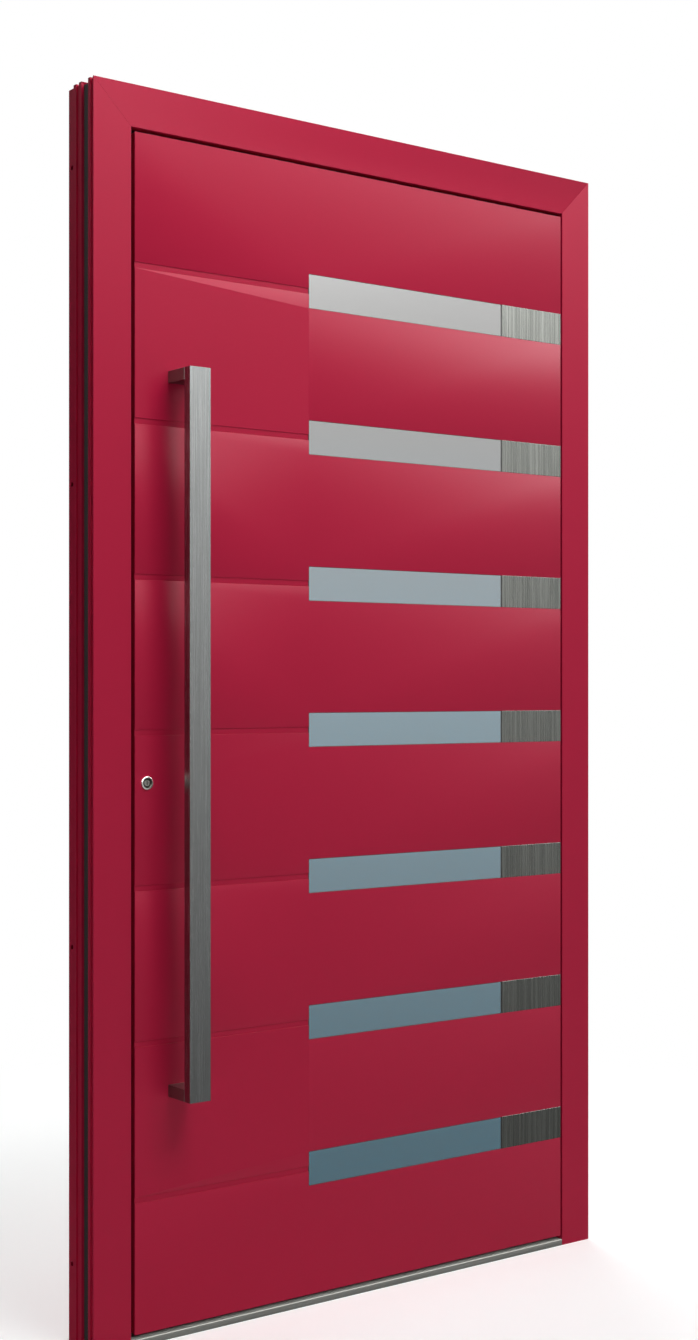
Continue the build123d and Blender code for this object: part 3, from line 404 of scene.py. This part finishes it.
# The stop gasket has a flat foot, a bulb that the leaf closes on, and a small lip at each edge
band = 10.1 * mm
bulb_radius = 2.4 * mm
stop_outline = (
    [(0.0, 0.0), (0.0, 1.9 * mm), (0.5 * mm, 2.3 * mm), (1.3 * mm, 1.2 * mm)]
    + bulb(band / 2, reach - bulb_radius, bulb_radius, 180, 0)
    + [(band - 1.3 * mm, 1.2 * mm), (band - 0.5 * mm, 2.3 * mm), (band, 1.9 * mm), (band, 0.0)]
)
stop_stations = round_frame(low, high, low[2])
stop_shape = swept([(a, low[1] + y) for a, y in stop_outline], stop_stations)
stand_for("stop_gasket_profile", as_mesh(stop_shape, "stop_gasket"), "frame_gasket")

# The leaf's lip seal has a foot on the leaf's edge and two soft fins that lean on the frame
low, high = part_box("leaf_gasket")
proud = 3.0 * mm
lip_outline = [
    (proud, 0.0), (proud - 1.0 * mm, 0.0), (0.5 * mm, 0.3 * mm), (0.1 * mm, 0.8 * mm),
    (0.6 * mm, 1.1 * mm), (proud - 1.0 * mm, 1.3 * mm), (proud - 1.0 * mm, 3.2 * mm),
    (0.4 * mm, 3.9 * mm), (0.0, 4.5 * mm), (0.5 * mm, 4.8 * mm), (proud - 1.0 * mm, 4.6 * mm),
    (proud - 1.0 * mm, 6.0 * mm), (proud, 6.0 * mm),
]
lip_stations = round_frame(low, high, low[2])
lip_shape = swept([(a, low[1] + y) for a, y in lip_outline], lip_stations)
stand_for("leaf_gasket_profile", as_mesh(lip_shape, "leaf_gasket"), "leaf_gasket")

# The foot seal has a base and three tapered fins down to the threshold
low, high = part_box("bottom_seal")
base_drop = 2.0 * mm
fins = [(low[1], low[1] + 3.0 * mm), (high[1] - 3.0 * mm, high[1])]
middle = (low[1] + high[1]) / 2
fins.insert(1, (middle - 1.4 * mm, middle + 1.4 * mm))
foot_outline = [(high[1], high[2]), (low[1], high[2])]
for near, far in fins:
    foot_outline += [
        (near, high[2] - base_drop), (near + 0.7 * mm, low[2] + 0.4 * mm),
        (near + 1.1 * mm, low[2]), (near + 1.5 * mm, low[2] + 0.3 * mm),
        (far, high[2] - base_drop),
    ]
foot_stations = [lambda y, z, x=x: (x, y, z) for x in (low[0], high[0])]
foot_shape = swept(foot_outline, foot_stations)
stand_for("foot_seal_profile", as_mesh(foot_shape, "foot_seal"), "bottom_seal")


# Countersunk screws and threshold ribs, by Geometry Nodes


def new_tree(name, sizes):
    """A Geometry Nodes tree with a Geometry input, named sizes and a Material, and its inputs."""
    made = bpy.data.node_groups.new(name, "GeometryNodeTree")
    face = made.interface
    face.new_socket("Geometry", in_out="INPUT", socket_type="NodeSocketGeometry")
    for label in sizes:
        face.new_socket(label, in_out="INPUT", socket_type="NodeSocketFloat")
    face.new_socket("Material", in_out="INPUT", socket_type="NodeSocketMaterial")
    face.new_socket("Geometry", in_out="OUTPUT", socket_type="NodeSocketGeometry")
    return made, add_node(made, "NodeGroupInput").outputs


def end_tree(made, instances, material):
    """Real faces instead of instances, with their material, at the end of a tree."""
    real = add_node(made, "GeometryNodeRealizeInstances", Geometry=instances).outputs[0]
    dressed = add_node(
        made, "GeometryNodeSetMaterial", Geometry=real, Material=material
    ).outputs[0]
    add_node(made, "NodeGroupOutput", Geometry=dressed)


def lifted(made, mesh, height):
    """Geometry moved up its own Z."""
    offset = add_node(made, "ShaderNodeCombineXYZ", Z=height).outputs[0]
    return add_node(
        made, "GeometryNodeTransform", Geometry=mesh, Translation=offset
    ).outputs[0]


def grown(name, seed, made, sizes, material):
    """The plain mesh that a tree makes of a seed mesh."""
    holder = bpy.data.objects.new(name, seed)
    scene.collection.objects.link(holder)
    modifier = holder.modifiers.new("nodes", "NODES")
    modifier.node_group = made
    values = dict(sizes, Material=material)
    for socket in made.interface.items_tree:
        if socket.in_out == "INPUT" and socket.name in values:
            modifier[socket.identifier] = values[socket.name]
    depsgraph = bpy.context.evaluated_depsgraph_get()
    data = bpy.data.meshes.new_from_object(holder.evaluated_get(depsgraph))
    holder.modifiers.clear()
    bpy.data.objects.remove(holder)
    return data


# A countersunk screw at each point: its head is flush there, and its shank runs along "way"
screw_sizes = {
    "Head Radius": 4.55 * mm,
    "Head Height": 2.3 * mm,
    "Shank Radius": 2.35 * mm,
    "Shank Length": 9.6 * mm,
    "Socket Radius": 1.75 * mm,
    "Socket Depth": 1.5 * mm,
}
screw_tree, given = new_tree("countersunk screws", screw_sizes)
head = add_node(
    screw_tree, "GeometryNodeMeshCone", Vertices=40, Radius_Bottom=given["Head Radius"],
    Radius_Top=given["Shank Radius"], Depth=given["Head Height"],
).outputs["Mesh"]
double = add_node(screw_tree, "ShaderNodeMath", {"operation": "MULTIPLY"})
screw_tree.links.new(given["Socket Depth"], double.inputs[0])
double.inputs[1].default_value = 2.0
socket_hole = add_node(
    screw_tree, "GeometryNodeMeshCylinder", Vertices=6, Radius=given["Socket Radius"],
    Depth=double.outputs[0],
).outputs["Mesh"]
cut_head = add_node(
    screw_tree, "GeometryNodeMeshBoolean", {"operation": "DIFFERENCE"}, Mesh_1=head,
    Mesh_2=socket_hole,
).outputs["Mesh"]
shank = add_node(
    screw_tree, "GeometryNodeMeshCone", Vertices=24, Radius_Bottom=given["Shank Radius"],
    Radius_Top=given["Shank Radius"], Depth=given["Shank Length"],
).outputs["Mesh"]
shank = lifted(screw_tree, shank, given["Head Height"])
one_screw = add_node(screw_tree, "GeometryNodeJoinGeometry")
for part in (shank, cut_head):
    screw_tree.links.new(part, one_screw.inputs[0])
way_in = add_node(
    screw_tree, "GeometryNodeInputNamedAttribute", {"data_type": "FLOAT_VECTOR"}, Name="way"
).outputs[0]
turn = add_node(
    screw_tree, "FunctionNodeAlignRotationToVector", {"axis": "Z"}, Vector=way_in
).outputs[0]
points = add_node(screw_tree, "GeometryNodeMeshToPoints", Mesh=given["Geometry"]).outputs[0]
screws = add_node(
    screw_tree, "GeometryNodeInstanceOnPoints", Points=points, Instance=one_screw.outputs[0],
    Rotation=turn,
).outputs[0]
end_tree(screw_tree, screws, given["Material"])


def islands(shape):
    """The loose bodies of a bmesh, each as its corners' places."""
    waiting = set(shape.verts)
    found = []
    while waiting:
        group = [waiting.pop()]
        for vertex in group:
            for edge in vertex.link_edges:
                other = edge.other_vert(vertex)
                if other in waiting:
                    waiting.remove(other)
                    group.append(other)
        found.append([vertex.co.copy() for vertex in group])
    return found


def screw_points(node):
    """A mesh of one point at each CAD screw's head, with the way that its shank runs."""
    same_end = 0.01 * mm
    shape = whole_mesh(node)
    places, ways = [], []
    for corners in islands(shape):
        spans = []
        for axis in range(3):
            values = [corner[axis] for corner in corners]
            spans.append((max(values) - min(values), min(values), max(values)))
        along = max(range(3), key=lambda axis: spans[axis][0])
        length, lowest, highest = spans[along]
        middle = Vector([(span[1] + span[2]) / 2 for span in spans])
        # The head is the wide end
        widths = []
        for end in (lowest, highest):
            ring = [corner for corner in corners if abs(corner[along] - end) < same_end]
            widths.append(max((abs(corner[2] - middle[2]) for corner in ring), default=0.0))
        head_at_high = widths[1] > widths[0]
        way = Vector((0.0, 0.0, 0.0))
        way[along] = -1.0 if head_at_high else 1.0
        middle[along] = highest if head_at_high else lowest
        places.append(middle)
        ways.append(way)
    shape.free()
    data = bpy.data.meshes.new(node)
    data.from_pydata(places, [], [])
    field = data.attributes.new("way", "FLOAT_VECTOR", "POINT")
    for i, way in enumerate(ways):
        field.data[i].vector = way
    return data


for node in ("frame_screws", "leaf_screws"):
    data = grown(node, screw_points(node), screw_tree, screw_sizes, finish_of(node))
    stand_for(node + "_with_sockets", data, node)

# Half round ribs against slipping, one from each point along X
rib_sizes = {"Rib Length": 958 * mm, "Rib Radius": 0.6 * mm}
rib_tree, given = new_tree("threshold ribs", rib_sizes)
end_point = add_node(rib_tree, "ShaderNodeCombineXYZ", X=given["Rib Length"]).outputs[0]
line = add_node(rib_tree, "GeometryNodeCurvePrimitiveLine", End=end_point).outputs[0]
profile = add_node(
    rib_tree, "GeometryNodeCurvePrimitiveCircle", Resolution=12, Radius=given["Rib Radius"]
).outputs["Curve"]
rib = add_node(
    rib_tree, "GeometryNodeCurveToMesh", Curve=line, Profile_Curve=profile, Fill_Caps=True
).outputs[0]
points = add_node(rib_tree, "GeometryNodeMeshToPoints", Mesh=given["Geometry"]).outputs[0]
ribs = add_node(
    rib_tree, "GeometryNodeInstanceOnPoints", Points=points, Instance=rib
).outputs[0]
end_tree(rib_tree, ribs, given["Material"])

low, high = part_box("threshold_outer_rail")
rib_count = 4
rib_pitch = 3.6 * mm
first_rib = low[1] + 4.0 * mm
rib_start = -rib_sizes["Rib Length"] / 2
seed = bpy.data.meshes.new("threshold_ribs")
seed.from_pydata(
    [(rib_start, first_rib + i * rib_pitch, high[2]) for i in range(rib_count)], [], []
)
data = grown("threshold_ribs", seed, rib_tree, rib_sizes, finish_of("threshold_outer_rail"))
data.shade_smooth()
data.set_sharp_from_angle(angle=rib_edge_turn)
ribs = bpy.data.objects.new("threshold_ribs", data)
scene.collection.objects.link(ribs)
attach(ribs, "frame")


# Camera at the photograph's place

camera_data = bpy.data.cameras.new("camera")
camera_data.sensor_fit = "HORIZONTAL"
camera_data.sensor_width = 36.0
camera_data.lens = 98.52
camera_data.shift_y = 0.0239
camera = bpy.data.objects.new("camera", camera_data)
camera.location = (-2.0675, -2.7489, 1.0796)
camera.rotation_euler = (pi / 2, 0.0, radians(-36.91))
scene.collection.objects.link(camera)
scene.camera = camera


# Studio: a pale floor, a bright surround above and a dim one below

# In metres: half the floor's side, and how far from the door it fades into white
floor_reach = 9
fade_start, fade_end = 0.9, 2.2
floor_glow = 0.37
floor_corners = [
    (x * floor_reach, y * floor_reach, 0) for x, y in ((-1, -1), (1, -1), (1, 1), (-1, 1))
]
floor_mesh = bpy.data.meshes.new("floor")
floor_mesh.from_pydata(floor_corners, [], [(0, 1, 2, 3)])
floor = bpy.data.objects.new("floor", floor_mesh)
scene.collection.objects.link(floor)
floor.location = (0, 0, cad_box[0][2])
pale = surface("floor, pale", "#CDD1D1", "#D2D6D6", (3, 3, 3), (0.8, 0.9), 0.00001)
floor_mesh.materials.append(pale)
tree = pale.node_tree
shader = tree.nodes["Principled BSDF"]
shader.inputs["Emission Color"].default_value = (1, 1, 1, 1)
shader.inputs["Emission Strength"].default_value = floor_glow
# Away from the door the camera sees the floor run out into white
place = add_node(tree, "ShaderNodeTexCoord").outputs["Object"]
away = add_node(tree, "ShaderNodeVectorMath", {"operation": "LENGTH"})
tree.links.new(place, away.inputs[0])
fade = add_node(
    tree, "ShaderNodeMapRange", {"interpolation_type": "SMOOTHSTEP"},
    Value=away.outputs["Value"], From_Min=fade_start, From_Max=fade_end,
)
seen = add_node(tree, "ShaderNodeLightPath").outputs["Is Camera Ray"]
share = add_node(tree, "ShaderNodeMath", {"operation": "MULTIPLY"})
tree.links.new(fade.outputs["Result"], share.inputs[0])
tree.links.new(seen, share.inputs[1])
white = add_node(tree, "ShaderNodeEmission", Color=(1, 1, 1, 1), Strength=1.0)
mixed = add_node(tree, "ShaderNodeMixShader", Fac=share.outputs["Value"])
tree.links.new(shader.outputs[0], mixed.inputs[1])
tree.links.new(white.outputs[0], mixed.inputs[2])
tree.links.new(mixed.outputs[0], tree.nodes["Material Output"].inputs["Surface"])
floor.visible_glossy = False

world = bpy.data.worlds.new("studio")
scene.world = world
world.use_nodes = True
tree = world.node_tree
tree.nodes.clear()
path = add_node(tree, "ShaderNodeLightPath")
way = add_node(tree, "ShaderNodeTexCoord").outputs["Generated"]
height = add_node(tree, "ShaderNodeSeparateXYZ", Vector=way).outputs["Z"]
place = add_node(tree, "ShaderNodeMapRange", Value=height, From_Min=-1.0, From_Max=1.0)
ramp = add_node(tree, "ShaderNodeValToRGB", Fac=place.outputs["Result"])
stops = ramp.color_ramp.elements
stops[0].position, stops[0].color = 0.0, (0.06, 0.06, 0.06, 1)
stops[1].position, stops[1].color = 1.0, (0.5, 0.5, 0.49, 1)
# The grade of the surround from the pale floor, over the dark foot of the room, to the bright top
grades = (
    (0.2, 0.04), (0.3, 0.02), (0.38, 0.015), (0.45, 0.04), (0.5, 0.062), (0.565, 0.09),
    (0.6, 0.095), (0.625, 0.115), (0.65, 0.8),
)
for position, value in grades:
    stop = stops.new(position)
    stop.color = (value, value, value * 0.99, 1)


def flag(toward, start, end, least):
    """The share of the world's light that a black flag lets through on its side of the studio."""
    turned = add_node(tree, "ShaderNodeVectorMath", {"operation": "DOT_PRODUCT"})
    tree.links.new(way, turned.inputs[0])
    turned.inputs[1].default_value = toward
    return add_node(
        tree, "ShaderNodeMapRange", Value=turned.outputs["Value"], From_Min=start, From_Max=end,
        To_Min=1.0, To_Max=least,
    ).outputs["Result"]


def times(value, factor):
    """A number times a socket."""
    product = add_node(tree, "ShaderNodeMath", {"operation": "MULTIPLY"})
    tree.links.new(factor, product.inputs[0])
    product.inputs[1].default_value = value
    return product.outputs["Value"]


# The world's strength in mirror reflections, and as soft light on everything
mirror_strength, soft_strength = 12.0, 0.15
# The door's narrow left side mirrors the first flag, and gets little light past the second
dark_mirror = flag((-0.6, 0.8, 0.0), 0.5, 0.82, 0.04)
dark_side = flag((-0.95, 0.3, 0.0), -0.1, 0.6, 0.04)
seen = add_node(tree, "ShaderNodeBackground", Color=(1, 1, 1, 1), Strength=1.0)
glossy = add_node(
    tree, "ShaderNodeBackground", Color=ramp.outputs["Color"],
    Strength=times(mirror_strength, dark_mirror),
)
soft = add_node(
    tree, "ShaderNodeBackground", Color=(1, 1, 1, 1), Strength=times(soft_strength, dark_side)
)
lit = add_node(tree, "ShaderNodeMixShader", Fac=path.outputs["Is Glossy Ray"])
tree.links.new(soft.outputs[0], lit.inputs[1])
tree.links.new(glossy.outputs[0], lit.inputs[2])
whole = add_node(tree, "ShaderNodeMixShader", Fac=path.outputs["Is Camera Ray"])
tree.links.new(lit.outputs[0], whole.inputs[1])
tree.links.new(seen.outputs[0], whole.inputs[2])
output = add_node(tree, "ShaderNodeOutputWorld")
tree.links.new(whole.outputs[0], output.inputs["Surface"])


def soft_light(name, place, aim, size, power):
    """A square area light that looks at a point."""
    data = bpy.data.lights.new(name, "AREA")
    data.size = size
    data.energy = power
    made = bpy.data.objects.new(name, data)
    made.location = place
    made.rotation_euler = (Vector(aim) - Vector(place)).to_track_quat("-Z", "Y").to_euler()
    made.visible_glossy = False
    scene.collection.objects.link(made)
    return made


soft_light("key light", (0.1, -2.0, 3.9), (0.0, 0.0, 1.1), 1.8, 92)
soft_light("back light", (1.7, 3.2, 2.6), (0.0, 0.0, 1.0), 2.0, 90)

scene.view_settings.view_transform = "Standard"
scene.view_settings.look = "None"
